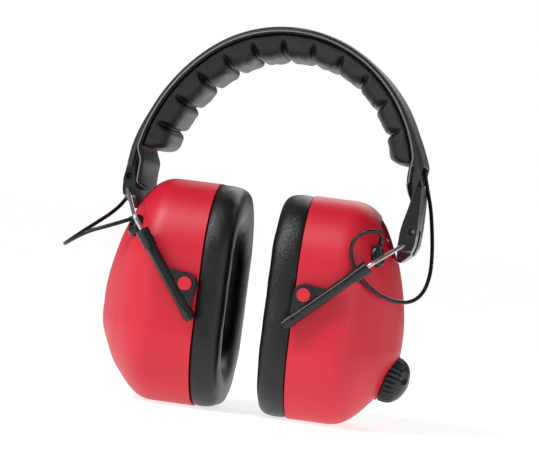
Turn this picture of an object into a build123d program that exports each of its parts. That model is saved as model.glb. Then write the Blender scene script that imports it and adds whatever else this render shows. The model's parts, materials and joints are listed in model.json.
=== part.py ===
from math import acos, asin, atan2, cos, degrees, hypot, pi, radians, sin, sqrt, tan
import os

from build123d import *

# Electronic earmuff standing on its two cups, with both yokes folded part of the way in.
# Millimetres. +X towards the cup with the volume knob, -Y front, +Z up, floor at Z = 0.
# s is the length along the headband from its top, positive towards +X; w is the offset
# outwards from the seam line; t is the length along the band upwards from an arm's hinge.

# ---- cups
RIM_X = {"left": -27.9, "right": 20.6}   # where the open rim of each shell lies
SIGN = {"left": -1, "right": 1}
CUP_HEIGHT = 108.0
CUP_WIDTH = 84.0
CUP_Z = CUP_HEIGHT / 2
WALL = 2.4
CORNER_R = 36.0
# depth from the rim, top, bottom (both from the cup's middle), half width, corner radius
SHELL_SECTIONS = [
    (17.0, 54.0, -54.0, 42.0, 36.0),
    (20.0, 53.9, -53.9, 41.9, 36.0),
    (23.0, 53.4, -53.4, 41.3, 35.8),
    (26.0, 52.2, -52.2, 39.9, 35.0),
    (30.0, 49.4, -49.4, 36.9, 33.0),
    (36.0, 41.0, -43.0, 30.0, 27.0),
    (41.0, 30.2, -36.4, 22.8, 20.5),
    (45.0, 17.6, -28.6, 15.4, 14.0),
    (47.4, 7.0, -23.4, 10.2, 9.3),
    (48.6, -1.0, -18.6, 5.8, 5.3),
    (49.0, -6.0, -14.6, 2.8, 2.5),
]
HOLLOW_SECTIONS = 9                      # the hollow follows only this many of them
CREVICE_R = 9.9                          # relief in the crown for the arm's tip
CREVICE_W = 29.0
CREVICE_SPOTS = [(40.5, 45.7), (45.6, 35.9)]

LIP = {"left": 1.8, "right": 0.6}        # the shell's lip, past the depth of 0
LIP_T = 1.3
PLATE_T = 1.8
CUSHION_T = {"left": 13.1, "right": 14.3}
CUSHION_HOLE = (40.0, 66.0)

# ---- what each cup holds, by depth from the rim
LINER_D = (2.2, 8.2)
FRAME_D = 9.0
FRAME_T = 2.0
SCREW_SPOTS = [(y, CUP_Z + z) for y in (-25.0, 25.0) for z in (-33.0, 33.0)]
SCREW_R = 1.0
SCREW_HEAD_R = 2.2
SPEAKER_R = 18.0
SPEAKER_BACK_R = 9.5
HOLDER_D = (19.0, 33.0)
HOLDER_SIZE = (27.0, 54.0)
CELL_R = 5.2                             # AAA
CELL_LENGTH = 44.0
CELL_Y = 5.8
CONTACT_T = 0.8
BOARD_D = (20.0, 21.6)
BOARD_SIZE = (44.0, 58.0)
MIC_AT = {"left": (32.2, 29.0), "right": (33.8, 29.0)}   # depth and height of the microphone
MIC_SIZE = (10.8, 7.2)
MIC_SEAT = (8.6, 5.2)
NOSE = 3.4                               # strain relief on the microphone housing

# ---- pivots between sleeves and cups
PIVOT = {"left": (3.25, 59.25), "right": (4.25, 61.05)}  # depth, and height above the floor
PIN_R = 2.0
PIN_CAP_R = 3.2
LUG_R = 5.1
BOSS_R = 6.0
SLEEVE_Y = 46.8
SLEEVE_R = 2.6
COLLAR_R = 3.3
SLEEVE_UP = 32.0
SLEEVE_DOWN = 16.0
SLEEVE_OFFSET = 6.1
LUG_IN = 43.4
LUG_OUT = 48.2
RUN_CLEAR = 0.07

# ---- yoke wires
WIRE_R = 1.0
HINGE_Z = {"left": 99.7, "right": 89.9}
HINGE_W = {"left": 0.0, "right": -1.6}
SHOULDER_S = 15.5
SHOULDER_Y = 24.8
LEG_LENGTH = 60.0
BEND_IN = 3.0
BEND_OUT = 4.0

# ---- headband, drawn as three arcs that meet smoothly
BAND_X = 2.45
BAND_TOP = 184.7
TOP_R = 62.75
SHOULDER_ANGLE = {"left": 40.0, "right": 36.8}
SIDE_R = {"left": 85.3, "right": 69.1}
BAND_HALF = 25.0
COVER_T = 0.9
COVER_END = {"left": -112.0, "right": 96.4}
LINING_END = {"left": -120.0, "right": 111.0}
PAD_END = {"left": -101.5, "right": 93.0}
PAD_HALF = 22.5
PAD_IN = -13.8
SPRING_HALF = 10.0
SPRING_END = 40.0                        # from each hinge
LINK_Y = 14.5
LINK_R = 0.75
LINK_W = 0.8
LINK_ENDS = (-105.0, 88.0)

# ---- arms
ARM_HALF = 22.5
TIP_HALF = 9.0
NECK_TOP = 28.0
TONGUE_END = 62.0
TONGUE_HALF = 12.0
# (t, w) along the outer face, along the inner face, and round the tip
ARM_BACK = {"left": [(5.0, 3.2), (9.0, 2.7), (14.0, 2.2), (NECK_TOP, 1.75)],
            "right": [(5.0, 3.6), (12.0, 3.7), (20.0, 3.6), (NECK_TOP, 3.3)]}
ARM_FACE = {"left": [(NECK_TOP, -1.1), (20.0, -1.1), (12.0, -1.6), (4.0, -3.0)],
            "right": [(NECK_TOP, -1.1), (21.2, -1.15), (12.0, -3.2), (4.0, -4.4)]}
ARM_TIP = {"left": [(-3.0, -3.4), (-8.4, -3.6), (-8.7, -2.0), (-4.6, 1.9), (0.0, 3.0)],
           "right": [(-3.0, -4.8), (-8.4, -4.8), (-8.7, -3.0), (-4.6, 1.6), (0.0, 3.2)]}
PIN_T = {"left": 6.5, "right": 6.7}
PIN_W = {"left": 0.7, "right": 1.2}
PIN_SPAN = (-9.5, 9.5)
CROSS_PIN_R = 1.1
WINDOW = (5.4, 13.0, 12.2)
RIVETS_T = (46.0, 54.0)
RIVET_R = 1.5

# ---- knob
KNOB_AT = (43.4, -28.4)                  # depth and height on the right cup
KNOB_DOWN = 17.0
KNOB_R = 11.7
KNOB_H = 11.0
KNOB_ROUND = 6.5
KNOB_FLUTES = 20
SEAT_R = 12.0
BUSH_R = 3.4
SHAFT_R = 2.0

# ---- cords, thin two-core leads
CORD_R = 0.95
RIGHT_ROUTE = [
    (69.0, 14.5, 126.5),
    (71.2, 14.5, 118.5),
    (74.2, 12.3, 109.5),
    (76.6, 6.7, 98.5),
    (78.6, 0.0, 87.0),
    (79.4, -7.5, 76.5),
    (77.4, -13.5, 67.8),
    (72.6, -19.5, 63.2),
    (65.8, -26.0, 62.8),
    (58.6, -33.0, 65.0),
    (52.4, -38.2, 68.9),
    (47.4, -40.8, 74.2),
    (43.8, -41.4, 80.6),
    (43.2, -41.6, 87.0),
    (46.2, -42.0, 92.2),
    (51.6, -41.6, 95.0),
    (57.4, -38.4, 94.0),
]
LEFT_ROUTE = [
    (-69.1, 14.5, 115.8),
    (-70.0, 14.5, 109.8),
    (-73.0, 13.9, 101.6),
    (-75.6, 9.6, 94.0),
    (-79.4, 3.4, 88.0),
    (-84.6, -4.0, 82.5),
    (-91.4, -11.5, 75.8),
    (-95.8, -19.5, 70.6),
    (-95.0, -28.5, 69.8),
    (-89.4, -34.8, 73.2),
    (-81.4, -37.4, 78.0),
    (-73.0, -36.6, 81.2),
]

SIDES = ("left", "right")
ENDS = {"front": -1, "rear": 1}
parts = {}


def save(name, shape, colour):
    """Keep one node: a part may be one solid or a group of separate solids."""
    shape.label = name
    shape.color = Color(*colour)
    parts[name] = shape


# ------------------------------------------------------------------ geometry helpers

def side_centre(side):
    """Centre of the headband's side arc, in XZ."""
    turn = radians(SHOULDER_ANGLE[side])
    gap = TOP_R - SIDE_R[side]
    return (BAND_X + SIGN[side] * gap * sin(turn), BAND_TOP - TOP_R + gap * cos(turn))


def arc_lengths(side):
    """Lengths of the top arc and the side arc on one side."""
    turn = radians(SHOULDER_ANGLE[side])
    return TOP_R * turn, SIDE_R[side] * (pi / 2 - turn)


def band_at(s, w):
    """The XZ point at length s along the seam line and offset w outwards."""
    side = "right" if s >= 0 else "left"
    sign, length = SIGN[side], abs(s)
    top, rest = arc_lengths(side)
    if length <= top:
        angle = length / TOP_R
        centre, radius = (BAND_X, BAND_TOP - TOP_R), TOP_R
    elif length <= top + rest:
        angle = radians(SHOULDER_ANGLE[side]) + (length - top) / SIDE_R[side]
        centre, radius = side_centre(side), SIDE_R[side]
    else:
        cx, cz = side_centre(side)
        return (cx + sign * (SIDE_R[side] + w), cz - (length - top - rest))
    return (centre[0] + sign * (radius + w) * sin(angle), centre[1] + (radius + w) * cos(angle))


def hinge_point(side):
    cx, _ = side_centre(side)
    return (cx + SIGN[side] * (SIDE_R[side] + HINGE_W[side]), HINGE_Z[side])


def hinge_length(side):
    """Length s of an arm's hinge."""
    return sum(arc_lengths(side)) + side_centre(side)[1] - HINGE_Z[side]


def arm_at(side, t, w):
    """The XZ point t up the band from an arm's hinge and w outwards."""
    return band_at(SIGN[side] * (hinge_length(side) - t), w)


def xz(points, y=0.0):
    return [(x, y, z) for x, z in points]


def slab(outline, half, middle=0.0):
    """Extrude a closed XZ outline by half each way along Y."""
    face = make_face(outline)
    return extrude(face.moved(Location((0, middle, 0))), half, dir=(0, 1, 0), both=True)


def band_strip(start, end, inner, outer, half, middle=0.0, steps=9):
    """A strip of the headband between lengths start and end; inner and outer are w(s)."""
    spots = [start + (end - start) * i / (steps - 1) for i in range(steps)]
    lower = Spline(xz([band_at(s, inner(s)) for s in spots]))
    upper = Spline(xz([band_at(s, outer(s)) for s in spots]))
    first = Line(lower @ 0, upper @ 0)
    last = Line(lower @ 1, upper @ 1)
    return slab([lower, last, upper, first], half, middle)


def level(value):
    return lambda s: value


def y_cylinder(x, z, radius, y0, y1):
    return Pos(x, (y0 + y1) / 2, z) * Rot(90, 0, 0) * Cylinder(radius, abs(y1 - y0))


def x_cylinder(x0, x1, y, z, radius):
    return Pos((x0 + x1) / 2, y, z) * Rot(0, 90, 0) * Cylinder(radius, abs(x1 - x0))


def cup_x(side, depth):
    return RIM_X[side] + SIGN[side] * depth


def cup_plane(side, depth, z_mid):
    """A plane across the cup: local x along -Y or +Y, local y up."""
    return Plane(origin=(cup_x(side, depth), 0, z_mid), x_dir=(0, SIGN[side], 0),
                 z_dir=(SIGN[side], 0, 0))


def oval(side, depth, width, height, radius, z_mid=CUP_Z):
    return cup_plane(side, depth, z_mid) * RectangleRounded(width, height, radius)


def oval_slab(side, depth0, depth1, width, height, radius, z_mid=CUP_Z):
    face = oval(side, depth0, width, height, radius, z_mid)
    return extrude(face, depth1 - depth0, dir=(SIGN[side], 0, 0))


def dome(side, inset):
    """The cup's outside (inset 0) or the hollow inside it (inset = wall)."""
    width, height = CUP_WIDTH - 2 * inset, CUP_HEIGHT - 2 * inset
    rim = -LIP[side] if inset == 0 else 0.0
    skirt = oval_slab(side, rim, SHELL_SECTIONS[0][0], width, height, CORNER_R - inset)
    sections = SHELL_SECTIONS if inset == 0 else SHELL_SECTIONS[:HOLLOW_SECTIONS]
    faces = []
    for i, (depth, top, low, half, radius) in enumerate(sections):
        d = depth - inset * i / (len(sections) - 1)
        faces.append(oval(side, d, 2 * (half - inset), top - low - 2 * inset, radius - inset,
                          CUP_Z + (top + low) / 2))
    return skirt + loft(faces, ruled=inset > 0)


def relief(side, grow):
    """Space in the cup's crown for the arm's tip to turn in, grown for the wall behind it."""
    half = CREVICE_W / 2 + grow
    spots = [y_cylinder(cup_x(side, depth), CUP_Z + height, CREVICE_R + grow, -half, half)
             for depth, height in CREVICE_SPOTS]
    return spots[0] + spots[1]


def pivot_point(side):
    depth, height = PIVOT[side]
    return (cup_x(side, depth), height)


def yoke_frame(side):
    """Fold angle from the vertical and distance from hinge to the foot of the pivot."""
    hx, hz = hinge_point(side)
    px, pz = pivot_point(side)
    out, up = SIGN[side] * (hx - px), hz - pz
    reach = hypot(out, up)
    fold = atan2(out, up) - asin(SLEEVE_OFFSET / reach)
    return fold, sqrt(reach ** 2 - SLEEVE_OFFSET ** 2)


def along_yoke(side, s, y=0.0):
    """The point s down the yoke from its hinge."""
    fold, _ = yoke_frame(side)
    hx, hz = hinge_point(side)
    return (hx - SIGN[side] * s * sin(fold), y, hz - s * cos(fold))


def rod(start, end, radius):
    """A round bar between two points."""
    a, b = Vector(*start), Vector(*end)
    plane = Plane(origin=(a + b) * 0.5, z_dir=b - a)
    return plane * Cylinder(radius, (b - a).length)


# ------------------------------------------------------------------ headband

def cover_bulge(s):
    """The cover stands further out where an arm's neck lies under it."""
    if s < 0:
        return 1.75 + 1.1 * min(max((-s - 80.0) / 20.0, 0.0), 1.0)
    return 1.75 + 2.45 * min(max((s - 70.0) / 24.0, 0.0), 1.0)


def flap_drop(s):
    """The left flap hangs inside the arm's wide lower end."""
    return -2.2 * min(max((-s - 102.5) / 10.0, 0.0), 1.0)


def build_band():
    left, right = COVER_END["left"], COVER_END["right"]
    black = (0.06, 0.06, 0.06)
    sheet = band_strip(left, right, cover_bulge, lambda s: cover_bulge(s) + COVER_T,
                       BAND_HALF, steps=21)
    skirts = [band_strip(left, right, level(-1.0), lambda s: cover_bulge(s) + 0.6, 0.6,
                         side * (BAND_HALF - 0.6), steps=21) for side in (-1, 1)]
    save("band_cover", sheet + skirts[0] + skirts[1], black)
    lining = band_strip(LINING_END["left"], LINING_END["right"],
                        lambda s: flap_drop(s) - 2.2, lambda s: flap_drop(s) - 1.3,
                        BAND_HALF - 2.0, steps=31)
    save("band_lining", lining, black)
    pad = band_strip(PAD_END["left"], PAD_END["right"], level(PAD_IN), level(-2.4), PAD_HALF,
                     steps=17)
    save("head_pad", pad, (0.1, 0.1, 0.1))
    ends = [SIGN[side] * (hinge_length(side) - SPRING_END) for side in SIDES]
    spring = band_strip(ends[0], ends[1], level(0.85), level(1.6), SPRING_HALF, steps=21)
    for side in SIDES:
        for t in RIVETS_T:
            spring -= rivet(side, t, RIVET_R)
    save("band_spring", spring, (0.6, 0.6, 0.62))
    start, end = LINK_ENDS
    spots = [start + (end - start) * i / 16 for i in range(17)]
    path = Spline([(band_at(s, LINK_W)[0], LINK_Y, band_at(s, LINK_W)[1]) for s in spots])
    link = sweep(Plane(origin=path @ 0, z_dir=path % 0) * Circle(LINK_R), path=path)
    save("link_cable", link, black)


def rivet(side, t, radius, low=-1.2, high=1.8):
    a, b = arm_at(side, t, low), arm_at(side, t, high)
    return rod((a[0], 0, a[1]), (b[0], 0, b[1]), radius)


# ------------------------------------------------------------------ arms

def build_arm(side):
    hinge_s = hinge_length(side)

    def at(t, w):
        return arm_at(side, t, w)

    back = Spline(xz([at(t, w) for t, w in ARM_BACK[side]]))
    face = Spline(xz([at(t, w) for t, w in ARM_FACE[side]]))
    tip = Polyline([face @ 1] + xz([at(t, w) for t, w in ARM_TIP[side]]) + [back @ 0])
    neck = slab([back, Line(back @ 1, face @ 0), face, tip], ARM_HALF)
    start, end = SIGN[side] * (hinge_s - NECK_TOP + 1.0), SIGN[side] * (hinge_s - TONGUE_END)
    tongue = band_strip(start, end, level(-1.0), level(0.7), TONGUE_HALF, steps=7)
    top_w = ARM_BACK[side][-1][1] - 0.1
    ramp = Polyline(*xz([at(NECK_TOP - 1, -1.0), at(NECK_TOP - 1, top_w), at(NECK_TOP + 7, 0.7),
                         at(NECK_TOP + 7, -1.0)]), close=True)
    arm = neck + slab([ramp], TONGUE_HALF) + tongue
    # the part below the hinge narrows to a tongue-shaped tip
    hx, hz = hinge_point(side)
    for end_sign in (-1, 1):
        shape = [(TIP_HALF, -9.6), (ARM_HALF - 4.0, -3.6), (ARM_HALF + 1, -2.2), (ARM_HALF + 1, -20),
                 (TIP_HALF, -20)]
        cutter = Polyline(*[(hx - 15, end_sign * y, hz + z) for y, z in shape], close=True)
        arm -= extrude(make_face(cutter), 30, dir=(1, 0, 0))
    # bores for the wire and the cross pin, the window over the pin, the cable groove
    arm -= y_cylinder(hx, hz, WIRE_R + RUN_CLEAR, -40, 40)
    pin = at(PIN_T[side], PIN_W[side])
    arm -= y_cylinder(*pin, CROSS_PIN_R + 0.05, -40, 40)
    arm -= y_cylinder(*pin, CROSS_PIN_R + 0.5, -40, -16)
    window_low, window_high = at(-4.6, 4.0), at(7.6, 4.0)
    mid = ((window_low[0] + window_high[0]) / 2, (window_low[1] + window_high[1]) / 2)
    arm -= Pos(mid[0], 0, mid[1]) * Box(*WINDOW)
    groove = band_strip(SIGN[side] * (hinge_s + 1.0), SIGN[side] * (hinge_s - NECK_TOP - 8.0),
                        level(-0.1), level(6.0), 1.5, LINK_Y, steps=5)
    arm -= groove
    for t in RIVETS_T:
        arm -= rivet(side, t, RIVET_R)
    save(f"{side}_arm", arm, (0.08, 0.08, 0.08))
    save(f"{side}_arm_pin", y_cylinder(*pin, CROSS_PIN_R, *PIN_SPAN), (0.75, 0.75, 0.77))
    flush = [rivet(side, t, RIVET_R - 0.02, -1.0, 1.6) for t in RIVETS_T]
    save(f"{side}_arm_rivets", Compound(children=flush), (0.7, 0.7, 0.7))


# ------------------------------------------------------------------ yokes and sleeves

def build_yoke(side):
    """One bent wire: crossbar through the arm, two shoulders, two parallel legs."""
    corner = [along_yoke(side, 0.0, SHOULDER_Y), along_yoke(side, SHOULDER_S, SLEEVE_Y),
              along_yoke(side, LEG_LENGTH, SLEEVE_Y)]
    mirrored = [(x, -y, z) for x, y, z in corner]
    points = mirrored[::-1] + corner
    path = FilletPolyline(*points, radius=[BEND_OUT, BEND_IN, BEND_IN, BEND_OUT])
    wire = sweep(Plane(origin=path @ 0, z_dir=path % 0) * Circle(WIRE_R), path=path)
    save(f"{side}_yoke_wire", wire, (0.8, 0.8, 0.82))


def tangent_point(centre, far, other):
    """Where the line from far touches the lug's round end, on the side away from other."""
    reach = far - centre
    turn = degrees(acos(LUG_R / reach.length))
    spots = [centre + reach.normalized().rotate(Axis.Y, sign * turn) * LUG_R for sign in (-1, 1)]
    return max(spots, key=lambda spot: (spot - other).length)


def build_sleeve(side, end):
    fold, reach = yoke_frame(side)
    y = ENDS[end] * SLEEVE_Y

    def spot(up):
        return along_yoke(side, reach - up, y)

    body = rod(spot(-SLEEVE_DOWN + 1.8), spot(SLEEVE_UP - 8.5), SLEEVE_R)
    body += rod(spot(SLEEVE_UP - 9.0), spot(SLEEVE_UP), COLLAR_R)
    for low in (7.2, 3.6):
        ring = rod(spot(SLEEVE_UP - low - 0.5), spot(SLEEVE_UP - low + 0.5), COLLAR_R + 1)
        ring -= rod(spot(SLEEVE_UP - low - 1), spot(SLEEVE_UP - low + 1), COLLAR_R - 0.35)
        body -= ring
    px, pz = pivot_point(side)
    lug_low, lug_high = sorted((ENDS[end] * LUG_IN, ENDS[end] * LUG_OUT))
    lug = y_cylinder(px, pz, LUG_R, lug_low, lug_high)
    centre, top, low = Vector(px, 0, pz), Vector(*spot(12.5)), Vector(*spot(-13.0))
    centre.Y, top.Y, low.Y = 0, 0, 0
    web = Polyline(centre, tangent_point(centre, top, low), top, low,
                   tangent_point(centre, low, top), close=True)
    lug += slab([web], (LUG_OUT - LUG_IN) / 2 - 0.5, ENDS[end] * (LUG_IN + LUG_OUT) / 2)
    body += lug
    body += rod(spot(-SLEEVE_DOWN + 1.8), spot(-SLEEVE_DOWN + 5.0), SLEEVE_R + 0.3)
    for i in range(8):
        # shallow grooves that run along the sleeve
        angle = radians(360 * i / 8 + 22.5)
        out = Vector(cos(fold), 0, SIGN[side] * sin(fold)) * (sin(angle) * (SLEEVE_R + 0.1))
        shift = out + Vector(0, cos(angle) * (SLEEVE_R + 0.1), 0)
        if abs(cos(angle)) > 0.3:
            a = Vector(*spot(-SLEEVE_DOWN + 5.6)) + shift
            b = Vector(*spot(SLEEVE_UP - 10.5)) + shift
            if ENDS[end] * cos(angle) > 0:
                body -= rod(tuple(a), tuple(b), 0.5)
    body -= rod(spot(-SLEEVE_DOWN - 1), spot(SLEEVE_UP + 1), WIRE_R + RUN_CLEAR)
    body -= y_cylinder(px, pz, PIN_R + RUN_CLEAR, lug_low - 1, lug_high + 1)
    save(f"{side}_{end}_sleeve", body, (0.07, 0.07, 0.07))
    cap = rod(spot(-SLEEVE_DOWN), spot(-SLEEVE_DOWN + 1.8), SLEEVE_R - 0.1)
    save(f"{side}_{end}_sleeve_plug", cap, (0.07, 0.07, 0.07))
    pin_tip, pin_neck = ENDS[end] * 37.6, ENDS[end] * (LUG_OUT + 0.15)
    pin = y_cylinder(px, pz, PIN_R, *sorted((pin_tip, pin_neck)))
    pin += y_cylinder(px, pz, PIN_CAP_R, *sorted((pin_neck, pin_neck + ENDS[end] * 1.5)))
    save(f"{side}_{end}_pivot_pin", pin, (0.8, 0.12, 0.18))


# ------------------------------------------------------------------ cups

def mic_frame(side, outside):
    """Where the microphone sits on the shell, and the direction straight out of it."""
    depth, up = MIC_AT[side]
    x, z = cup_x(side, depth), CUP_Z + up
    hits = outside.find_intersection_points(Axis((x, -80, z), (0, 1, 0)))
    point, normal = min(hits, key=lambda hit: hit[0].Y)
    if normal.Y > 0:
        normal = normal * -1
    return point, normal


def knob_frame():
    """Centre of the knob's seat and its axis, straight out of the right cup."""
    down = radians(KNOB_DOWN)
    out = Vector(cos(down), 0, -sin(down))
    return Vector(cup_x("right", KNOB_AT[0]), 0, CUP_Z + KNOB_AT[1]), out


def build_shell(side, outside, hollow):
    shell = outside - hollow
    # stiffening bosses for the screws that hold the speaker frame
    for y, z in SCREW_SPOTS:
        boss = x_cylinder(cup_x(side, FRAME_D + FRAME_T), cup_x(side, 44), y, z, 3.0)
        shell += boss & outside
        shell -= x_cylinder(cup_x(side, FRAME_D), cup_x(side, FRAME_D + 10), y, z, SCREW_R + 0.05)
    shell += relief(side, WALL) & outside
    shell -= relief(side, 0.0)
    # the plate's seat inside the lip
    seat_d = PLATE_T - LIP[side]
    shell -= oval_slab(side, -5.0, seat_d, CUP_WIDTH - 2 * LIP_T, CUP_HEIGHT - 2 * LIP_T,
                       CORNER_R - LIP_T)
    px, pz = pivot_point(side)
    for end in ENDS.values():
        boss = y_cylinder(px, pz, BOSS_R, *sorted((end * 38.0, end * 43.0)))
        shell += boss - Pos(cup_x(side, seat_d - 5.0), 0, pz) * Box(10.0, 100.0, 20.0)
        shell -= y_cylinder(px, pz, PIN_R + 0.02, *sorted((end * 37.0, end * 50.0)))
    if side == "right":
        seat, out = knob_frame()
        pad = Plane(origin=seat - out * 4.0, z_dir=out) * Cylinder(SEAT_R, 8.0)
        shell += pad - hollow
        shell -= Plane(origin=seat + out * 5.0, z_dir=out) * Cylinder(SEAT_R, 10.0)
        shell -= Plane(origin=seat, z_dir=out) * Cylinder(3.6, 40.0)
    return shell


def build_cup(side):
    outside, hollow = dome(side, 0.0), dome(side, WALL)
    shell = build_shell(side, outside, hollow)
    black, dark = (0.07, 0.07, 0.07), (0.12, 0.12, 0.12)

    point, normal = mic_frame(side, outside)
    route = RIGHT_ROUTE if side == "right" else LEFT_ROUTE
    tail = Vector(*route[-1])
    frame = Plane(origin=point, x_dir=(0, 0, 1), z_dir=normal)
    pocket = frame * Pos(0, 0, -3.5) * extrude(SlotOverall(MIC_SEAT[0] + 0.1, MIC_SEAT[1] + 0.1), 8.0,
                                               both=True)
    shell -= pocket
    save(f"{side}_cup_shell", shell, (0.82, 0.1, 0.16))
    house = frame * Pos(0, 0, 0.2) * extrude(SlotOverall(*MIC_SIZE), 2.9)
    house = house - outside
    house += frame * Pos(0, 0, -4.0) * extrude(SlotOverall(*MIC_SEAT), 6.0)
    house -= frame * Pos(0, 0, 3.0) * Cylinder(1.6, 6.0)
    nose_root = frame.origin + normal * 1.9 + frame.x_dir * 3.6
    toward = (tail - nose_root).normalized()
    nose_end = nose_root + toward * NOSE
    house += rod(tuple(nose_root), tuple(nose_end), 1.6) - outside
    save(f"{side}_mic_housing", house, black)
    capsule = frame * Pos(0, 0, 1.0) * Cylinder(1.5, 1.8)
    save(f"{side}_mic_capsule", capsule, (0.75, 0.75, 0.75))
    route.append(tuple(nose_end))

    hole_w, hole_h = CUSHION_HOLE
    edge, lip = LIP_T + 0.04, LIP[side]
    plate = oval_slab(side, -lip, PLATE_T - lip - 0.02, CUP_WIDTH - 2 * edge, CUP_HEIGHT - 2 * edge,
                      CORNER_R - edge)
    plate -= oval_slab(side, -lip - 1, PLATE_T, hole_w + 10, hole_h + 8, 22.0)
    save(f"{side}_base_plate", plate, black)
    face = -lip - 0.02 - CUSHION_T[side]
    cushion = oval_slab(side, face, -lip - 0.02, CUP_WIDTH - 1.0, CUP_HEIGHT - 1.0, CORNER_R)
    cushion = fillet(cushion.edges().group_by(Axis.X)[0 if side == "right" else -1], 5.0)
    cushion -= oval_slab(side, face - 1, 0.0, hole_w, hole_h, 19.0)
    save(f"{side}_ear_cushion", cushion, dark)

    liner = oval_slab(side, *LINER_D, 66.0, 92.0, 28.0)
    save(f"{side}_foam_liner", liner, (0.2, 0.2, 0.22))
    frame_plate = oval_slab(side, FRAME_D, FRAME_D + FRAME_T, 66.0, 84.0, 28.0)
    frame_plate -= x_cylinder(cup_x(side, 8), cup_x(side, 12), 0, CUP_Z, SPEAKER_R - 3)
    for y, z in SCREW_SPOTS:
        frame_plate -= x_cylinder(cup_x(side, 8), cup_x(side, 12), y, z, 1.3)
    save(f"{side}_speaker_frame", frame_plate, dark)
    back = FRAME_D + FRAME_T + 0.02
    speaker = x_cylinder(cup_x(side, back), cup_x(side, back + 3.5), 0, CUP_Z, SPEAKER_R)
    speaker += x_cylinder(cup_x(side, back + 3.4), cup_x(side, back + 7.0), 0, CUP_Z, SPEAKER_BACK_R)
    save(f"{side}_speaker", speaker, (0.5, 0.5, 0.52))
    screws = []
    for y, z in SCREW_SPOTS:
        shank = x_cylinder(cup_x(side, FRAME_D - 0.02), cup_x(side, FRAME_D + 9.0), y, z, SCREW_R)
        head = x_cylinder(cup_x(side, FRAME_D - 0.74), cup_x(side, FRAME_D - 0.02), y, z, SCREW_HEAD_R)
        screws.append(shank + head)
    save(f"{side}_frame_screws", Compound(children=screws), (0.6, 0.6, 0.6))


def build_batteries():
    """Two AAA cells in a holder behind the left speaker."""
    side = "left"
    width, height = HOLDER_SIZE
    holder = oval_slab(side, *HOLDER_D, width, height, 3.0)
    holder -= oval_slab(side, HOLDER_D[0] + 1.6, HOLDER_D[1] + 7, width - 3, height - 3, 2.0)
    save("battery_holder", holder, (0.1, 0.1, 0.1))
    cells, contacts = [], []
    x = cup_x(side, HOLDER_D[0] + 2.2 + CELL_R)
    for y in (-CELL_Y, CELL_Y):
        cells.append(Pos(x, y, CUP_Z) * Cylinder(CELL_R, CELL_LENGTH))
        for end in (-1, 1):
            foot = CUP_Z + end * (CELL_LENGTH / 2 + 1.9)
            contacts.append(Pos(x, y, foot) * Box(8.0, 8.0, CONTACT_T))
    save("batteries", Compound(children=cells), (0.6, 0.55, 0.2))
    save("battery_contacts", Compound(children=contacts), (0.8, 0.8, 0.8))


def build_controls():
    """Circuit board, volume control and its knob in the right cup."""
    seat, out = knob_frame()
    board = oval_slab("right", *BOARD_D, *BOARD_SIZE, 3.0, CUP_Z + 6.0)
    save("circuit_board", board, (0.05, 0.3, 0.12))
    plane = Plane(origin=seat, z_dir=out)
    pot = plane * Pos(0, 0, -8.2) * Cylinder(6.5, 5.6)
    pot += plane * Pos(0, 0, -2.0) * Cylinder(BUSH_R, 8.0)
    pot += plane * Pos(0, 0, 4.2) * Cylinder(SHAFT_R, 6.4)
    save("volume_control", pot, (0.5, 0.5, 0.5))
    nut = plane * Pos(0, 0, 1.1) * extrude(RegularPolygon(4.6, 6), 1.8)
    nut -= plane * Cylinder(BUSH_R + 0.05, 20.0)
    nut = nut.moved(Location(tuple(out * -1.06)))
    save("control_nut", nut, (0.7, 0.7, 0.7))
    knob = plane * Pos(0, 0, 0.5 + KNOB_H / 2) * Cylinder(KNOB_R, KNOB_H)
    rim = knob.edges().filter_by(GeomType.CIRCLE).sort_by(Axis(tuple(seat), tuple(out)))[-1]
    knob = fillet(rim, KNOB_ROUND)
    knob -= plane * Pos(0, 0, 0.5 + 1.4) * Cylinder(6.2, 2.9)
    knob -= plane * Pos(0, 0, 4.3) * Cylinder(SHAFT_R + 0.05, 6.6)
    for i in range(KNOB_FLUTES):
        turned = plane * Rot(0, 0, 360 * i / KNOB_FLUTES)
        knob -= turned * Pos(KNOB_R + 0.35, 0, 3.6) * Cylinder(0.9, 6.0)
    dimple = plane * Pos(0, -5.6, 0.5 + KNOB_H + 2.0) * Sphere(4.4)
    knob -= dimple
    save("volume_knob", knob, (0.07, 0.07, 0.07))


# ------------------------------------------------------------------ cords

def corner_radii(route):
    """Each corner's arc is as large as its two runs allow."""
    radii = []
    for before, here, after in zip(route, route[1:], route[2:]):
        first, second = Vector(*here) - Vector(*before), Vector(*after) - Vector(*here)
        turn = radians(first.get_angle(second))
        radii.append(0.45 * min(first.length, second.length) / tan(turn / 2))
    return radii


def build_cord(side, route):
    radii = corner_radii(route)
    path = FilletPolyline(*route, radius=radii)
    tube = sweep(Plane(origin=path @ 0, z_dir=path % 0) * Circle(CORD_R), path=path)
    save(f"{side}_cord", tube, (0.05, 0.05, 0.05))
    share = tube.volume / (pi * CORD_R ** 2 * path.length)
    print(side, "cord", round(path.length, 1), "mm, volume share", round(share, 4),
          "radii", [round(r, 1) for r in radii])


def build_all():
    build_band()
    for side in SIDES:
        build_arm(side)
        build_yoke(side)
        build_cup(side)
        for end in ENDS:
            build_sleeve(side, end)
        fold, reach = yoke_frame(side)
        print(side, "fold", round(degrees(fold), 3), "reach", round(reach, 3), "hinge", hinge_point(side))
    build_batteries()
    build_controls()
    build_cord("right", RIGHT_ROUTE)
    build_cord("left", LEFT_ROUTE)
    os.makedirs("parts", exist_ok=True)
    for name, shape in parts.items():
        export_step(shape, f"parts/{name}.step")


build_all()
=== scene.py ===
import json
import math

import bmesh
import bpy
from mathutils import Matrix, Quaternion, Vector, noise


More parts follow.
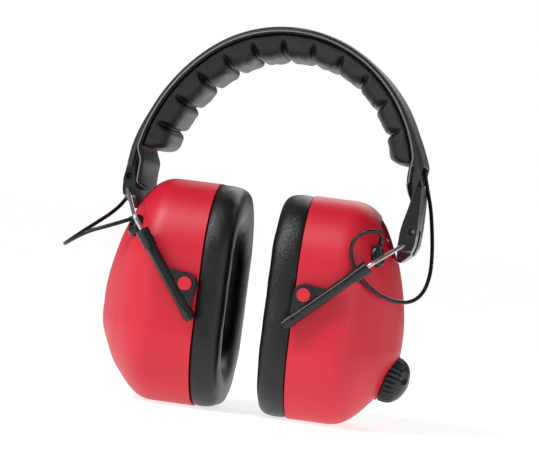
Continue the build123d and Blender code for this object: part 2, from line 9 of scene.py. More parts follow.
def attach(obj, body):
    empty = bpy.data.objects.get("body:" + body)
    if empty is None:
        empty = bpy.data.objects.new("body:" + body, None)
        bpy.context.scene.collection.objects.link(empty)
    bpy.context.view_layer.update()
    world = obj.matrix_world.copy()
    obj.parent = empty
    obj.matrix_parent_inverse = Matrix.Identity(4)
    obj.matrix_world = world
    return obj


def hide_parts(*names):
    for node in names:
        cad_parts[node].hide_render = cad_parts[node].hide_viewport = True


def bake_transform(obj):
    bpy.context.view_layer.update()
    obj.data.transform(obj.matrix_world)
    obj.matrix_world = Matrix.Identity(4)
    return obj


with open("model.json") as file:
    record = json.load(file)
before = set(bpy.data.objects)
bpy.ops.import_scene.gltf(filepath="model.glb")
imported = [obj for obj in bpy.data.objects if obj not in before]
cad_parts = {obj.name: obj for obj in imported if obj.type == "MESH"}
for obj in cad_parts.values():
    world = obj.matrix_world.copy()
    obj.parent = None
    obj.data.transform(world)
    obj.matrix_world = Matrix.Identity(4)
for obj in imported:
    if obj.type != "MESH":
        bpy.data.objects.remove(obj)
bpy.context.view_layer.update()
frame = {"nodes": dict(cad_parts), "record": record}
nodes = frame["nodes"]

# The looks of the electronic earmuff. Sizes are in millimetres, and turned to metres where a mesh
# is made. s is the length along the headband from its top, positive towards +X, and w is the offset
# outwards from its seam line.
MM = 0.001
SIGN = {"left": -1, "right": 1}

# ---- headband
BAND_X = 2.45
BAND_TOP = 184.7
TOP_R = 62.75
SHOULDER_ANGLE = {"left": 40.0, "right": 36.8}
SIDE_R = {"left": 85.3, "right": 69.1}
BAND_HALF = 25.0
COVER_START = -112.0
COVER_END = 94.0
COVER_SKIRT = 17.0                       # how far its edges run on past its crown at the right end
LINING_START = -122.5
LINING_END = 111.0
PAD_START = -101.5
PAD_END = 93.0
PILLOWS = 12
PILLOW_SHIFT = 1.8                       # the first pillow is this much shorter
PAD_HALF = 24.0
PAD_BACK = -1.0                          # w where the pad leaves the seam
PAD_T = 12.6
NOTCH_R = 4.0                            # rounding of a pillow into its sewn channel
NOTCH_DEPTH = 3.7
NOTCH_SIDE = 6.4
PAD_RING = 44
LINING_HALF = 23.4
EDGE_R = 5.2                             # the cover's rounded edges
EDGE_STEPS = 9
FLUTES = 26

# ---- cups
RIM_X = {"left": -27.9, "right": 20.6}
CUP_Z = 54.0
LIP = {"left": 1.8, "right": 0.6}
CUSHION_T = {"left": 13.1, "right": 14.3}
CUSHION_SIZE = (82.6, 106.6, 35.3)       # width, height, corner radius
HOLE_SIZE = (40.0, 66.0, 19.0)

# ---- cords: the routes' points, in metres
CORD_D = 0.0019
RIGHT_ROUTE = [
    (0.0690, 0.0145, 0.1265),
    (0.0712, 0.0145, 0.1185),
    (0.0742, 0.0123, 0.1095),
    (0.0766, 0.0067, 0.0985),
    (0.0786, 0.0000, 0.0870),
    (0.0794, -0.0075, 0.0765),
    (0.0774, -0.0135, 0.0678),
    (0.0726, -0.0195, 0.0632),
    (0.0658, -0.0260, 0.0628),
    (0.0586, -0.0330, 0.0650),
    (0.0524, -0.0382, 0.0689),
    (0.0474, -0.0408, 0.0742),
    (0.0438, -0.0414, 0.0806),
    (0.0432, -0.0416, 0.0870),
    (0.0462, -0.0420, 0.0922),
    (0.0516, -0.0416, 0.0950),
    (0.0574, -0.0384, 0.0940),
    (0.0558, -0.0325, 0.0891),
]
LEFT_ROUTE = [
    (-0.0691, 0.0145, 0.1158),
    (-0.0700, 0.0145, 0.1098),
    (-0.0730, 0.0139, 0.1016),
    (-0.0756, 0.0096, 0.0940),
    (-0.0794, 0.0034, 0.0880),
    (-0.0846, -0.0040, 0.0825),
    (-0.0914, -0.0115, 0.0758),
    (-0.0958, -0.0195, 0.0706),
    (-0.0950, -0.0285, 0.0698),
    (-0.0894, -0.0348, 0.0732),
    (-0.0814, -0.0374, 0.0780),
    (-0.0730, -0.0366, 0.0812),
    (-0.0637, -0.0334, 0.0856),
]


# ------------------------------------------------------------------ materials

def srgb(r, g, b):
    """Linear colour from 0-255 display values."""
    def linear(c):
        c /= 255
        return c / 12.92 if c < 0.04045 else ((c + 0.055) / 1.055) ** 2.4
    return (linear(r), linear(g), linear(b), 1.0)


class Finish:
    """A Principled material with chained bumps, built node by node."""

    def __init__(self, name, roughness, metallic=0.0, specular=0.5, coat=0.0, coat_roughness=0.1):
        self.material = bpy.data.materials.new(name)
        self.material.use_nodes = True
        self.tree = self.material.node_tree
        self.shader = self.tree.nodes["Principled BSDF"]
        self.shader.inputs["Roughness"].default_value = roughness
        self.shader.inputs["Metallic"].default_value = metallic
        self.shader.inputs["Specular IOR Level"].default_value = specular
        self.shader.inputs["Coat Weight"].default_value = coat
        self.shader.inputs["Coat Roughness"].default_value = coat_roughness
        self.place = self.tree.nodes.new("ShaderNodeTexCoord")

    def node(self, kind, **inputs):
        made = self.tree.nodes.new(kind)
        for key, value in inputs.items():
            made.inputs[key.replace("_", " ")].default_value = value
        return made

    def link(self, output, target):
        self.tree.links.new(output, target)

    def stretched(self, source, scale):
        mapping = self.tree.nodes.new("ShaderNodeMapping")
        mapping.inputs["Scale"].default_value = scale
        self.link(self.place.outputs[source], mapping.inputs["Vector"])
        return mapping.outputs["Vector"]

    def noise(self, scale, detail=3.0, stretch=(1, 1, 1), source="Object"):
        made = self.node("ShaderNodeTexNoise", Scale=scale, Detail=detail)
        self.link(self.stretched(source, stretch), made.inputs["Vector"])
        return made.outputs["Fac"]

    def cells(self, scale, stretch=(1, 1, 1), source="Object"):
        made = self.node("ShaderNodeTexVoronoi", Scale=scale)
        made.feature = "DISTANCE_TO_EDGE"
        self.link(self.stretched(source, stretch), made.inputs["Vector"])
        return made.outputs["Distance"]

    def bump(self, height, strength, distance):
        made = self.node("ShaderNodeBump", Strength=strength, Distance=distance)
        self.link(height, made.inputs["Height"])
        target = self.shader.inputs["Normal"]
        if target.is_linked:
            self.link(target.links[0].from_socket, made.inputs["Normal"])
        self.link(made.outputs["Normal"], target)

    def ramp(self, factor, stops):
        made = self.tree.nodes.new("ShaderNodeValToRGB")
        band = made.color_ramp
        while len(band.elements) < len(stops):
            band.elements.new(0.5)
        for element, (spot, colour) in zip(band.elements, stops):
            element.position = spot
            element.color = colour
        self.link(factor, made.inputs["Fac"])
        return made.outputs["Color"]

    def colour(self, factor, stops):
        self.link(self.ramp(factor, stops), self.shader.inputs["Base Color"])

    def rough(self, factor, low, high):
        made = self.node("ShaderNodeMapRange")
        made.inputs["To Min"].default_value = low
        made.inputs["To Max"].default_value = high
        self.link(factor, made.inputs["Value"])
        self.link(made.outputs["Result"], self.shader.inputs["Roughness"])


def shell_red():
    """Moulded red ABS: satin, a faint spark-eroded texture, a darker tone in patches."""
    f = Finish("red_abs", 0.42, coat=0.1, coat_roughness=0.35)
    f.colour(f.noise(14, 2), [(0.35, srgb(208, 20, 44)), (0.65, srgb(216, 26, 50))])
    f.rough(f.noise(60, 3), 0.4, 0.5)
    f.bump(f.noise(2600, 2), 0.12, 0.0001)
    f.bump(f.cells(1300), 0.05, 0.0001)
    return f.material


def black_plastic(name="black_plastic", tone=26, rough=(0.36, 0.5), grain=0.16):
    """Moulded black plastic: fine texture, paler rubbed patches."""
    f = Finish(name, rough[0])
    f.colour(f.noise(90, 4), [(0.4, srgb(tone, tone + 2, tone + 2)),
                              (0.75, srgb(tone + 9, tone + 12, tone + 12))])
    f.rough(f.noise(140, 3), *rough)
    f.bump(f.noise(2300, 2), grain, 0.00012)
    return f.material


def vinyl(name, tone, rough, grain_scale=950, grain=0.5, streaks=None):
    """Leather-grained vinyl: a net of fine creases, soft mottling, oily patches."""
    f = Finish(name, rough[0], specular=0.45)
    f.colour(f.noise(70, 5), [(0.35, srgb(tone, tone + 2, tone + 2)),
                              (0.7, srgb(tone + 12, tone + 15, tone + 15))])
    f.rough(f.noise(110, 4), *rough)
    net = f.ramp(f.cells(grain_scale), [(0.0, (0, 0, 0, 1)), (0.22, (1, 1, 1, 1))])
    f.bump(net, grain, 0.00018)
    f.bump(f.noise(330, 4), 0.35, 0.0003)
    if streaks:
        f.bump(f.noise(1.0, 1, streaks, "UV"), 0.22, 0.0003)
    return f.material


def metal(name, tone, rough, lines=None):
    f = Finish(name, rough[0], metallic=1.0)
    f.colour(f.noise(40, 2), [(0.3, srgb(tone, tone, tone)), (0.8, srgb(tone + 8, tone + 8, tone + 9))])
    f.rough(f.noise(60, 2), *rough)
    if lines:
        f.bump(f.noise(1.0, 2, lines), 0.08, 0.00005)
    return f.material


def foam():
    f = Finish("foam", 0.95, specular=0.2)
    f.colour(f.noise(900, 3), [(0.3, srgb(22, 22, 24)), (0.7, srgb(52, 52, 56))])
    f.bump(f.cells(1500), 0.8, 0.0004)
    return f.material


MATERIALS = {
    "red_plastic": shell_red(),
    "black_plastic": black_plastic(tone=16, rough=(0.22, 0.34)),
    "cover_vinyl": vinyl("cover_vinyl", 32, (0.34, 0.46), 1300, 0.2, streaks=(620.0, 5.0, 1.0)),
    "lining_vinyl": vinyl("lining_vinyl", 16, (0.36, 0.5), 1000, 0.35),
    "pad_vinyl": vinyl("pad_vinyl", 13, (0.32, 0.46), 800, 0.5),
    "cushion_vinyl": vinyl("cushion_vinyl", 9, (0.28, 0.42), 1000, 0.35),
    "wire_steel": metal("wire_steel", 196, (0.26, 0.34)),
    "spring_steel": metal("spring_steel", 150, (0.3, 0.45), lines=(20, 2400, 20)),
    "bright_metal": metal("bright_metal", 190, (0.2, 0.34)),
    "cable_rubber": black_plastic("cable_pvc", 7, (0.2, 0.3), 0.05),
    "knob_rubber": black_plastic("knob_rubber", 7, (0.18, 0.3), 0.08),
    "foam": foam(),
    "battery_shell": metal("battery_shell", 120, (0.3, 0.4)),
    "contact_brass": metal("contact_brass", 180, (0.25, 0.35)),
    "board": black_plastic("board", 40, (0.3, 0.4), 0.05),
}
# pale grey for the welded edge: a painted highlight along the glossy black seam
WELD_HIGHLIGHT = black_plastic("weld_edge_painted_highlight", 120, (0.22, 0.3), 0.05)


def paint(obj, material):
    obj.data.materials.clear()
    obj.data.materials.append(material)


def paint_nodes():
    """Every CAD node gets its slot's finish."""
    for sub in frame["record"]["subparts"]:
        paint(nodes[sub["node"]], MATERIALS[sub["material_slot"]])


# ------------------------------------------------------------------ mesh helpers

def grid(name, rows, loop=False, cap=False):
    """A mesh through rows of points in millimetres. UVs are lengths in metres."""
    width = len(rows[0])
    verts = [Vector(p) * MM for row in rows for p in row]
    faces = []
    uvs = []
    across = [0.0]
    for a, b in zip(rows[len(rows) // 2], rows[len(rows) // 2][1:] + rows[len(rows) // 2][:1]):
        across.append(across[-1] + (Vector(b) - Vector(a)).length * MM)
    along = [0.0]
    for a, b in zip(rows, rows[1:]):
        along.append(along[-1] + (Vector(b[width // 2]) - Vector(a[width // 2])).length * MM)
    for i in range(len(rows) - 1):
        for j in range(width if loop else width - 1):
            k = (j + 1) % width
            faces.append((i * width + j, i * width + k, (i + 1) * width + k, (i + 1) * width + j))
            uvs += [(across[j], along[i]), (across[j + 1], along[i]),
                    (across[j + 1], along[i + 1]), (across[j], along[i + 1])]
    if cap:
        for start, order in ((0, -1), ((len(rows) - 1) * width, 1)):
            ring = list(range(start, start + width))[::order]
            faces.append(ring)
            uvs += [(across[v - start], along[0]) for v in ring]
    mesh = bpy.data.meshes.new(name)
    mesh.from_pydata(verts, [], faces)
    layer = mesh.uv_layers.new(name="lengths")
    for item, uv in zip(layer.data, uvs):
        item.uv = uv
    mesh.update()
    obj = bpy.data.objects.new(name, mesh)
    bpy.context.scene.collection.objects.link(obj)
    return smooth(obj)


def smooth(obj):
    for face in obj.data.polygons:
        face.use_smooth = True
    return obj


def outward(obj):
    """Turn the faces of a closed mesh outwards."""
    work = bmesh.new()
    work.from_mesh(obj.data)
    bmesh.ops.recalc_face_normals(work, faces=work.faces)
    work.to_mesh(obj.data)
    work.free()
    return obj


def modify(obj, kind, **settings):
    made = obj.modifiers.new(kind.lower(), kind)
    for key, value in settings.items():
        setattr(made, key, value)
    return made


def spaced(start, end, count):
    return [start + (end - start) * i / (count - 1) for i in range(count)]


def ease(value):
    value = min(max(value, 0.0), 1.0)
    return value * value * (3 - 2 * value)


def band_at(s, w):
    """XZ of the point at length s along the seam line and offset w outwards."""
    side = "right" if s >= 0 else "left"
    sign, length = SIGN[side], abs(s)
    turn = math.radians(SHOULDER_ANGLE[side])
    top, rest = TOP_R * turn, SIDE_R[side] * (math.pi / 2 - turn)
    gap = TOP_R - SIDE_R[side]
    cx, cz = BAND_X + sign * gap * math.sin(turn), BAND_TOP - TOP_R + gap * math.cos(turn)
    if length <= top:
        angle, cx, cz, radius = length / TOP_R, BAND_X, BAND_TOP - TOP_R, TOP_R
    elif length <= top + rest:
        angle, radius = turn + (length - top) / SIDE_R[side], SIDE_R[side]
    else:
        return cx + sign * (SIDE_R[side] + w), cz - (length - top - rest)
    return cx + sign * (radius + w) * math.sin(angle), cz + (radius + w) * math.cos(angle)


def on_band(s, y, w):
    x, z = band_at(s, w)
    return (x, y, z)


def finish_piece(obj, body, slot, *stands_for, material=None):
    paint(obj, material or MATERIALS[slot])
    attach(obj, body)
    if stands_for:
        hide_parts(*stands_for)
    return obj


# ------------------------------------------------------------------ headband

def cover_height(s):
    """How far the cover's crown stands out of the seam line, inside its thickness."""
    if s < 0:
        return 1.65 + 1.2 * ease((-s - 80.0) / 24.0)
    return 1.65 + 1.7 * ease((s - 74.0) / 20.0) + 0.5 * ease((s - 86.0) / 9.0)


def cover_row(u):
    """The cover's outside across the band. At the right end its edges run on past its crown."""
    spots = []
    for i in range(EDGE_STEPS):
        turn = math.pi / 2 * i / EDGE_STEPS
        spots.append((-BAND_HALF + EDGE_R * (1 - math.cos(turn)), math.sin(turn)))
    spots += [(y, 1.0) for y in spaced(EDGE_R - BAND_HALF, BAND_HALF - EDGE_R, 15)]
    spots += [(-y, h) for y, h in reversed(spots[:EDGE_STEPS])]
    row = []
    for y, h in spots:
        end = COVER_END + COVER_SKIRT * (1 - h) ** 1.3
        s = COVER_START + (end - COVER_START) * u
        height = cover_height(s) * (1.0 + 0.06 * math.cos(math.pi * y / BAND_HALF / 2))
        row.append(on_band(s, y, (height + 0.4) * h - 0.4))
    return row


def build_cover():
    rows = [cover_row(u) for u in spaced(0.0, 1.0, 120)]
    cover = grid("headband_cover", rows)
    modify(cover, "SOLIDIFY", thickness=0.7 * MM, offset=1.0)
    modify(cover, "BEVEL", width=0.25 * MM, segments=2, limit_method="ANGLE")
    finish_piece(cover, "headband", "cover_vinyl", "band_cover")


def flap_drop(s):
    """How far the lining leaves the seam line inwards on the two flaps."""
    if s < 0:
        return 3.4 * ease((-s - 101.0) / 8.0)
    return 2.3 * math.sin(math.pi * min(max((s - PAD_END + 3.0) / 21.0, 0.0), 1.0))


def lining_ends(y):
    """Where the lining's two flaps end, at y across the band."""
    reach = abs(y) / LINING_HALF
    left = LINING_START + 2.0 * ease((4.0 - y) / 26.0)
    right = LINING_END - 9.0 * reach ** 1.2
    return left, right


def build_lining():
    across = spaced(-LINING_HALF, LINING_HALF, 33)
    rows = []
    for u in spaced(0.0, 1.0, 150):
        row = []
        for y in across:
            start, end = lining_ends(y)
            s = start + (end - start) * u
            row.append(on_band(s, y, -1.35 - flap_drop(s) + 0.5 * (abs(y) / LINING_HALF) ** 6))
        rows.append(row)
    lining = grid("headband_lining", rows)
    modify(lining, "SOLIDIFY", thickness=0.8 * MM, offset=1.0)
    finish_piece(lining, "headband", "lining_vinyl", "band_lining")
    for name, sign in (("front_weld", -1), ("rear_weld", 1)):
        build_weld(name, sign)


def build_weld(name, sign):
    """The glossy welded edge along the seam, which goes on round both flaps' hems. Its pale grey is a
    painted highlight.
    """
    y = sign * (BAND_HALF + 0.2)
    path = []
    for t in spaced(0.0, 1.0, 14)[:-1]:
        turn = sign * LINING_HALF * t
        s = lining_ends(turn)[0]
        path.append(on_band(s, turn, -1.7 - flap_drop(s)))
    start = lining_ends(sign * LINING_HALF)[0] + 1.5
    end = lining_ends(LINING_HALF)[1] - 1.0
    path += [on_band(s, y - sign * 1.2 * ease((-s - 104.0) / 6.0), -0.75 - 0.9 * flap_drop(s))
             for s in spaced(start, end, 130)]
    for t in spaced(1.0, 0.0, 14)[1:]:
        turn = sign * LINING_HALF * t
        s = lining_ends(turn)[1]
        path.append(on_band(s, turn, -1.7 - flap_drop(s)))
    weld = tube(name, path, [0.36] * len(path), 8)
    finish_piece(weld, "headband", "lining_vinyl", material=WELD_HIGHLIGHT)


def tube(name, path, radii, sides):
    """A closed round tube of varying radius along points in millimetres."""
    points = [Vector(p) for p in path]
    rows = []
    up = Vector((0.0, 0.0, 1.0))
    for i, p in enumerate(points):
        along = (points[min(i + 1, len(points) - 1)] - points[max(i - 1, 0)]).normalized()
        side = (up - along * up.dot(along)).normalized() if i == 0 else (side - along * side.dot(along))
        side.normalize()
        other = along.cross(side)
        ring = []
        for j in range(sides):
            turn = 2 * math.pi * j / sides
            ring.append(p + (side * math.cos(turn) + other * math.sin(turn)) * radii[i])
        rows.append(ring)
    return outward(grid(name, rows, loop=True, cap=True))


def pillow(s):
    """How full the pad is at length s: 1 on a pillow, 0 at a sewn channel between two."""
    pitch = (PAD_END - PAD_START) / PILLOWS
    spot = (s - PAD_START + PILLOW_SHIFT) % pitch
    gap = min(spot, pitch - spot)
    if min(s - PAD_START, PAD_END - s) < pitch / 2:
        return 1.0
    return math.sqrt(max(0.0, 1 - (1 - min(gap / NOTCH_R, 1.0)) ** 2))


def pad_row(s, end):
    """A ring round the pad: its flat back on the lining, its sides and its crest."""
    full = pillow(s)
    row = []
    for i in range(PAD_RING):
        turn = math.pi * i / (PAD_RING - 1)
        c, q = math.cos(turn), math.sin(turn)
        across = math.copysign(abs(c) ** 0.36, c)
        deep = q ** 0.62
        y = across * (PAD_HALF - 0.9 * deep - (1 - full) * NOTCH_SIDE * ease((deep - 0.3) / 0.45))
        d = deep * (PAD_T - 1.1 * ease(s / 50.0) - NOTCH_DEPTH * (1 - full))
        wrinkle = noise.noise(Vector((s * 0.33, y * 0.10, d * 0.3)) + Vector((7.1, 3.3, 1.9)))
        pleat = noise.noise(Vector((s * 0.16, y * 0.6, d * 0.6))) * (1 - full)
        d += (0.4 * wrinkle + 0.8 * pleat) * deep
        y += 0.5 * noise.noise(Vector((s * 0.25, d * 0.3, 4.4))) * across * deep
        row.append(on_band(s, y * (0.8 + 0.2 * end), PAD_BACK - d * end))
    return row


def build_pad():
    spots = spaced(PAD_START, PAD_END, PILLOWS * 18 + 1)
    rows = []
    for i, s in enumerate(spots):
        near = min(i, len(spots) - 1 - i) / 7
        end = 0.25 + 0.75 * math.sqrt(max(0.0, 1 - (1 - min(near, 1.0)) ** 2))
        rows.append(pad_row(s, end))
    pad = outward(grid("comfort_pad", rows, loop=True, cap=True))
    modify(pad, "SUBSURF", levels=1, render_levels=1)
    finish_piece(pad, "headband", "pad_vinyl", "head_pad")


# ------------------------------------------------------------------ cups

def oval_loop(width, height, radius, arc=18, side=9, crown=5):
    """Points (y, z) round a rounded rectangle about the cup's middle."""
    points = []
    straight = {0: crown, 1: side, 2: crown, 3: side}
    for quarter in range(4):
        cy = (width / 2 - radius) * (1 if quarter in (0, 3) else -1)
        cz = (height / 2 - radius) * (1 if quarter in (0, 1) else -1)
        for i in range(arc + 1):
            turn = math.pi / 2 * (quarter + i / arc)
            points.append(Vector((cy + radius * math.cos(turn), cz + radius * math.sin(turn))))
        last = points[-1]
        step = {0: Vector((-1, 0)), 1: Vector((0, -1)), 2: Vector((1, 0)), 3: Vector((0, 1))}[quarter]
        run = (width if quarter in (0, 2) else height) - 2 * radius
        count = straight[quarter]
        points += [last + step * run * i / count for i in range(1, count)]
    return points


# share of the way from the ear opening to the outer edge, and share of the thickness
CUSHION_SECTION = [
    (0.975, 0.0), (1.0, 0.05), (1.018, 0.16), (1.024, 0.32), (1.02, 0.48), (1.005, 0.64),
    (0.972, 0.79), (0.915, 0.905), (0.83, 0.97), (0.72, 0.998), (0.6, 1.0), (0.47, 0.995),
    (0.34, 0.965), (0.22, 0.9), (0.12, 0.8), (0.045, 0.66), (0.005, 0.5), (0.0, 0.34),
    (0.012, 0.18), (0.05, 0.06), (0.1, 0.0), (0.4, 0.0), (0.7, 0.0),
]


def build_cushion(side):
    sign = SIGN[side]
    outer, inner = oval_loop(*CUSHION_SIZE), oval_loop(*HOLE_SIZE)
    rows = []
    for o, i in zip(outer, inner):
        ring = []
        for across, high in CUSHION_SECTION:
            spot = i + (o - i) * across
            soft = high * (1.6 - across)
            lump = noise.noise(Vector((spot.x * 0.09, spot.y * 0.09, sign * 3.0 + high)))
            crease = noise.noise(Vector((spot.x * 0.32, spot.y * 0.32, sign * 5.0 + high * 2)))
            deep = high * CUSHION_T[side] + (0.35 * lump + 0.16 * crease) * soft
            x = RIM_X[side] - sign * (LIP[side] + 0.02 + deep)
            spot = spot + (o - i).normalized() * (0.3 * lump + 0.12 * crease) * high
            ring.append((x, spot.x, CUP_Z + spot.y))
        rows.append(ring)
    rows.append(rows[0])
    cushion = outward(weld_ends(grid(f"{side}_cushion", rows, loop=True)))
    modify(cushion, "SUBSURF", levels=1, render_levels=2)
    finish_piece(cushion, f"{side}_cup", "cushion_vinyl", f"{side}_ear_cushion")


def weld_ends(obj):
    work = bmesh.new()
    work.from_mesh(obj.data)
    bmesh.ops.remove_doubles(work, verts=work.verts, dist=1e-7)
    work.to_mesh(obj.data)
    work.free()
    return obj


# height over the seat and radius
KNOB_PROFILE = [(0.4, 10.4), (0.5, 11.3), (0.9, 11.7), (2.4, 11.65), (4.0, 11.4), (5.6, 10.9),
                (7.0, 10.1), (8.3, 8.9), (9.4, 7.4), (10.3, 5.6), (10.95, 3.6), (11.3, 1.7), (11.42, 0.25)]
KNOB_SEAT = (64.0, 0.0, 25.6)
KNOB_DOWN = math.radians(17.0)
DIMPLE = (8.0, 3.8, 9.4)                 # forwards, up and out from the seat
DIMPLE_R = 3.5


def build_knob():
    """A fluted dome with a finger dimple in a raised rim."""
    out = Vector((math.cos(KNOB_DOWN), 0, -math.sin(KNOB_DOWN)))
    side = Vector((0, -1, 0))
    up = side.cross(out)
    rows = []
    profile = []
    for (h0, r0), (h1, r1) in zip(KNOB_PROFILE, KNOB_PROFILE[1:]):
        profile += [(h0 + (h1 - h0) * i / 5, r0 + (r1 - r0) * i / 5) for i in range(5)]
    profile.append(KNOB_PROFILE[-1])
    dimple = Vector(DIMPLE)
    for h, r in profile:
        ring = []
        fade = ease((9.2 - h) / 4.5) * ease((h - 0.6) / 0.5)
        for j in range(FLUTES * 9):
            turn = 2 * math.pi * j / (FLUTES * 9)
            flute = (0.5 + 0.5 * math.cos(FLUTES * turn)) ** 2
            rr = r - 0.75 * flute * fade
            local = Vector((rr * math.cos(turn), rr * math.sin(turn), h))
            away = (local - dimple).length
            if h > 4:
                pull = 0.95 * ease(1 - away / DIMPLE_R)
                rim = 0.35 * math.exp(-((away - DIMPLE_R) / 0.35) ** 2)
                local += (local - Vector((0, 0, 3))).normalized() * (rim - pull)
            ring.append(Vector(KNOB_SEAT) + side * local.x + up * local.y + out * local.z)
        rows.append(ring)
    knob = outward(grid("fluted_knob", rows, loop=True, cap=True))
    modify(knob, "SUBSURF", levels=0, render_levels=1)
    finish_piece(knob, "knob", "knob_rubber", "volume_knob")


# ------------------------------------------------------------------ cords

def cord_line(route):
    """Points along the route's NURBS spline, with its points as control points."""
    curve = bpy.data.curves.new("cord_route", "CURVE")
    curve.dimensions = "3D"
    spline = curve.splines.new("NURBS")
    spline.points.add(len(route) - 1)
    for point, spot in zip(spline.points, route):
        point.co = (*spot, 1.0)
    spline.order_u = 3
    spline.use_endpoint_u = True
    spline.resolution_u = 14
    holder = bpy.data.objects.new("cord_route", curve)
    mesh = bpy.data.meshes.new_from_object(holder)
    line = [v.co.copy() for v in mesh.vertices]
    bpy.data.objects.remove(holder)
    return line


def build_cord(side, route):
    """The lead in three equal lengths along its route, each made as its own tube."""
    line = cord_line(route)
    lengths = [0.0]
    for a, b in zip(line, line[1:]):
        lengths.append(lengths[-1] + (b - a).length)
    cuts = [min(range(len(line)), key=lambda i: abs(lengths[i] - lengths[-1] * k / 3)) for k in range(4)]
    for k in range(3):
        span = line[cuts[k]:cuts[k + 1] + 1]
        piece = tube(f"{side}_lead_{k + 1}", [p / MM for p in span], [CORD_D / MM / 2] * len(span), 20)
        paint(piece, MATERIALS["cable_rubber"])
        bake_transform(piece)
        if k == 0:
            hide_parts(f"{side}_cord")


# ------------------------------------------------------------------ outside microphones

# inset from the outline and height above the shell, from the foot up and into the sound hole
MIC_PROFILE = [(0.0, -2.4), (0.0, 0.9), (0.12, 1.6), (0.5, 2.4), (1.1, 2.95), (1.7, 3.1), (2.3, 3.1)]
MIC_SIZE = (10.6, 7.8)                   # length, width
MIC_RING = 56
MIC_HOLE_R = 1.2
# where each housing sits on its shell, and the shell's outward direction there
MIC_SPOT = {"left": (-60.1, -31.8, 83.0), "right": (54.4, -29.5, 83.0)}
MIC_OUT = {"left": (-0.765, -0.584, 0.272), "right": (0.818, -0.509, 0.268)}
RELIEF_R = 1.75                          # the strain relief's radius at the housing
RELIEF_TAPER = 0.45
RELIEF_RIBS = 4


def mic_axes(side):
    """A housing's seat, its outward direction, its length and its width."""
    out = Vector(MIC_OUT[side]).normalized()
    up = (Vector((0, 0, 1)) - out * out.z).normalized()
    return Vector(MIC_SPOT[side]), out, up, out.cross(up)


def build_mic(side):
    """A rounded oval housing with a sound hole over the capsule, and a ribbed strain relief."""
    spot, out, up, across = mic_axes(side)
    length, width = MIC_SIZE
    rows = []
    for inset, high in MIC_PROFILE:
        ring = []
        for i in range(MIC_RING):
            turn = 2 * math.pi * i / MIC_RING
            lean = (length - width) / 2 * math.copysign(abs(math.cos(turn)) ** 0.35, math.cos(turn))
            radius = width / 2 - inset
            ring.append(spot + up * (lean + radius * math.cos(turn))
                        + across * radius * math.sin(turn) + out * high)
        rows.append(ring)
    for radius, high in ((MIC_HOLE_R + 0.15, 3.1), (MIC_HOLE_R, 2.9), (MIC_HOLE_R, 1.7)):
        rows.append([spot + up * radius * math.cos(2 * math.pi * i / MIC_RING)
                     + across * radius * math.sin(2 * math.pi * i / MIC_RING) + out * high
                     for i in range(MIC_RING)])
    mic = outward(grid(f"{side}_microphone", rows, loop=True, cap=True))
    finish_piece(mic, f"{side}_cup", "black_plastic", f"{side}_mic_housing")
    root = spot + out * 1.9 + up * 3.6
    end = Vector((LEFT_ROUTE if side == "left" else RIGHT_ROUTE)[-1]) / MM
    steps = spaced(0.0, 1.0, 41)
    path = [root + (end - root) * t for t in steps]
    radii = [(RELIEF_R - RELIEF_TAPER * t)
             * (1.0 - 0.1 * (0.5 - 0.5 * math.cos(2 * RELIEF_RIBS * math.pi * t))) for t in steps]
    relief = tube(f"{side}_strain_relief", path, radii, 24)
    finish_piece(relief, f"{side}_cup", "black_plastic")


def build_all_looks():
    paint_nodes()
    build_cover()
    build_lining()
    build_pad()
    for side in SIGN:
        build_cushion(side)
        build_mic(side)
    build_knob()
    build_cord("left", LEFT_ROUTE)
    build_cord("right", RIGHT_ROUTE)


# ------------------------------------------------------------------ stage, light and camera

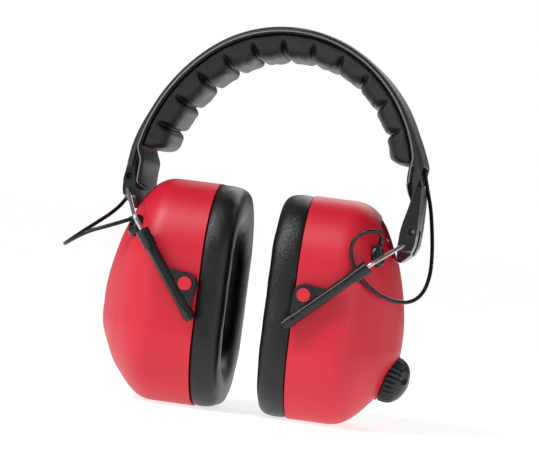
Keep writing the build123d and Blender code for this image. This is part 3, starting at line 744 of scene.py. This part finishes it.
def build_stage():
    scene = bpy.context.scene
    scene.view_settings.view_transform = "Standard"
    bpy.ops.mesh.primitive_plane_add(size=400.0, location=(0, 0, 0))
    floor = bpy.context.active_object
    floor.name = "floor"
    f = Finish("floor_white", 0.6, specular=0.2)
    f.colour(f.noise(3, 2), [(0.3, (0.42, 0.42, 0.42, 1)), (0.7, (0.44, 0.44, 0.44, 1))])
    f.shader.inputs["Emission Color"].default_value = (1, 1, 1, 1)
    f.shader.inputs["Emission Strength"].default_value = 0.74
    paint(floor, f.material)
    world = bpy.data.worlds.new("studio")
    world.use_nodes = True
    tree = world.node_tree
    seen = tree.nodes["Background"]
    seen.inputs["Color"].default_value = (1, 1, 1, 1)
    lit = tree.nodes.new("ShaderNodeBackground")
    lit.inputs["Color"].default_value = (1, 1, 1, 1)
    lit.inputs["Strength"].default_value = 0.2
    rays = tree.nodes.new("ShaderNodeLightPath")
    mix = tree.nodes.new("ShaderNodeMixShader")
    tree.links.new(rays.outputs["Is Camera Ray"], mix.inputs["Fac"])
    tree.links.new(lit.outputs["Background"], mix.inputs[1])
    tree.links.new(seen.outputs["Background"], mix.inputs[2])
    tree.links.new(mix.outputs["Shader"], tree.nodes["World Output"].inputs["Surface"])
    scene.world = world


def area_light(name, spot, aim, size, power):
    data = bpy.data.lights.new(name, "AREA")
    data.shape = "RECTANGLE"
    data.size, data.size_y = size
    data.energy = power
    lamp = bpy.data.objects.new(name, data)
    lamp.location = spot
    lamp.rotation_mode = "QUATERNION"
    lamp.rotation_quaternion = (Vector(aim) - Vector(spot)).to_track_quat("-Z", "Y")
    bpy.context.scene.collection.objects.link(lamp)


def sun_light(name, toward, strength, spread):
    data = bpy.data.lights.new(name, "SUN")
    data.energy = strength
    data.angle = math.radians(spread)
    lamp = bpy.data.objects.new(name, data)
    lamp.rotation_mode = "QUATERNION"
    lamp.rotation_quaternion = Vector(toward).to_track_quat("Z", "Y")
    bpy.context.scene.collection.objects.link(lamp)


TARGET = Vector((-0.0013, 0.0, 0.0913))
AZIMUTH = 7.5
ELEVATION = 0.0
ROLL = 7.3
DISTANCE = 1.2
SEEN_WIDTH = 0.2619


def build_camera():
    data = bpy.data.cameras.new("camera")
    data.sensor_width = 36.0
    data.lens = data.sensor_width * DISTANCE / SEEN_WIDTH
    data.clip_start, data.clip_end = 0.05, 1000.0
    camera = bpy.data.objects.new("camera", data)
    a, e = math.radians(AZIMUTH), math.radians(ELEVATION)
    back = Vector((math.sin(a) * math.cos(e), -math.cos(a) * math.cos(e), math.sin(e)))
    camera.location = TARGET + back * DISTANCE
    camera.rotation_mode = "QUATERNION"
    level = (-back).to_track_quat("-Z", "Y")
    camera.rotation_quaternion = level @ Quaternion((0, 0, 1), math.radians(ROLL))
    bpy.context.scene.collection.objects.link(camera)
    bpy.context.scene.camera = camera


build_stage()
build_camera()
sun_light("sun", (-0.5, -0.6, 1.0), 1.6, 20.0)
area_light("key", (-0.85, -0.7, 0.6), (0, 0, 0.09), (0.3, 0.45), 4.3)
area_light("fill", (0.95, -0.7, 0.35), (0, 0, 0.08), (0.4, 0.7), 1.5)
area_light("back", (0.2, 0.9, 0.7), (0, 0, 0.1), (0.8, 0.4), 3.0)
build_all_looks()
